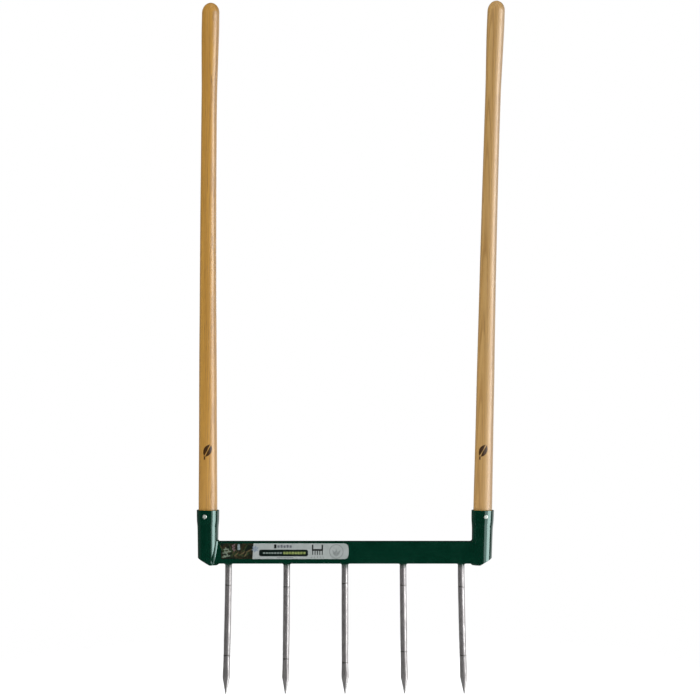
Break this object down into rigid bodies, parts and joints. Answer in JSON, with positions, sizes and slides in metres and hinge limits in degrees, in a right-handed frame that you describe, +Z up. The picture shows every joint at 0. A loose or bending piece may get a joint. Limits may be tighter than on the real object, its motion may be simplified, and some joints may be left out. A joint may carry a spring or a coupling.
{
  "type": "lawn aerator fork",
  "caption": "Broad lawn aerator fork: upright turned ash handles screwed into welded green steel sockets, joined by a rectangular crossbeam that carries curved, pointed steel tines.",
  "frame": {"origin": "on the point of the middle tine, level with the ground that the five points are about to enter", "axes": "+X from the left handle to the right one, -Y the labelled front, to which the handles lean and the tines curve, +Z up towards the grips"},
  "size_m": [0.5423, 0.1874, 1.2099],
  "materials": {
    "ash_wood": "sanded and clear-oiled ash, satin",
    "green_paint": "glossy dark green powder coat",
    "forged_steel": "bare forged round bar, satin grey",
    "zinc_plate": "bright zinc plating",
    "label_print": "printed and laminated sticker, semi-gloss"
  },
  "bodies": {
    "root": {"left_handle": "ash_wood", "right_handle": "ash_wood", "crossbeam": "green_paint", "left_socket": "green_paint", "right_socket": "green_paint", "tine_1": "forged_steel", "tine_2": "forged_steel", "tine_3": "forged_steel", "tine_4": "forged_steel", "tine_5": "forged_steel", "left_handle_screw": "zinc_plate", "right_handle_screw": "zinc_plate", "front_label": "label_print", "tine_weld_1": "green_paint", "tine_weld_2": "green_paint", "tine_weld_3": "green_paint", "tine_weld_4": "green_paint", "tine_weld_5": "green_paint", "left_socket_weld": "green_paint", "right_socket_weld": "green_paint"}
  },
  "joints": []
}
